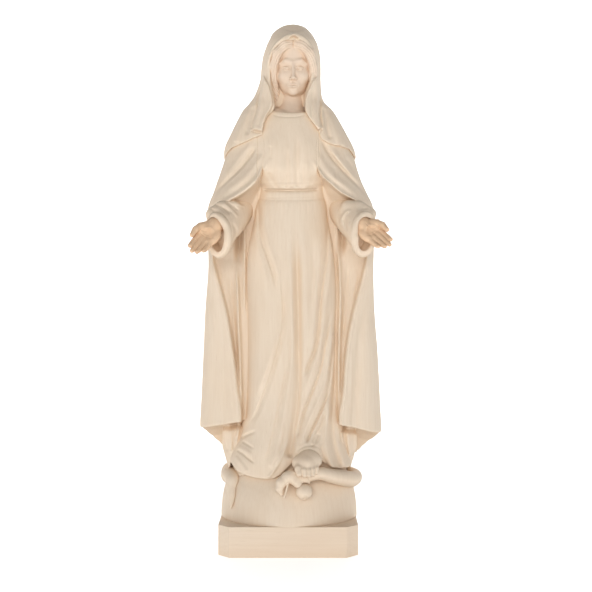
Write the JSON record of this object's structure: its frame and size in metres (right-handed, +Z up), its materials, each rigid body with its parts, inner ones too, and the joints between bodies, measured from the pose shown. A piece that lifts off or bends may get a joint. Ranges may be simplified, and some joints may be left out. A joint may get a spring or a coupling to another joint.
{
  "type": "madonna statue",
  "caption": "Carved wooden standing madonna with veil, cloak and open hands, on a serpent and globe with a small plinth to stand on a shelf or altar.",
  "frame": {"origin": "centre of the plinth's underside", "axes": "+Z up, -Y to the front where the figure looks, +X towards the figure's left hand"},
  "size_m": [0.111, 0.0727, 0.299],
  "materials": {
    "pale_wood": "matt natural, unstained",
    "hand_wood": "matt natural, darker",
    "peg_wood": "plain turned"
  },
  "bodies": {
    "root": {"plinth": "pale_wood", "globe": "pale_wood", "serpent_body": "pale_wood", "serpent_head": "pale_wood", "apple": "pale_wood", "gown": "pale_wood", "left_foot": "pale_wood", "mantle_back": "pale_wood", "mantle_right_side": "pale_wood", "mantle_left_side": "pale_wood", "veil": "pale_wood", "head": "pale_wood", "neck_peg": "peg_wood", "right_sleeve": "pale_wood", "left_sleeve": "pale_wood", "right_hand": "hand_wood", "left_hand": "hand_wood", "right_wrist_peg": "peg_wood", "left_wrist_peg": "peg_wood", "right_dowel": "peg_wood", "left_dowel": "peg_wood"}
  },
  "joints": []
}
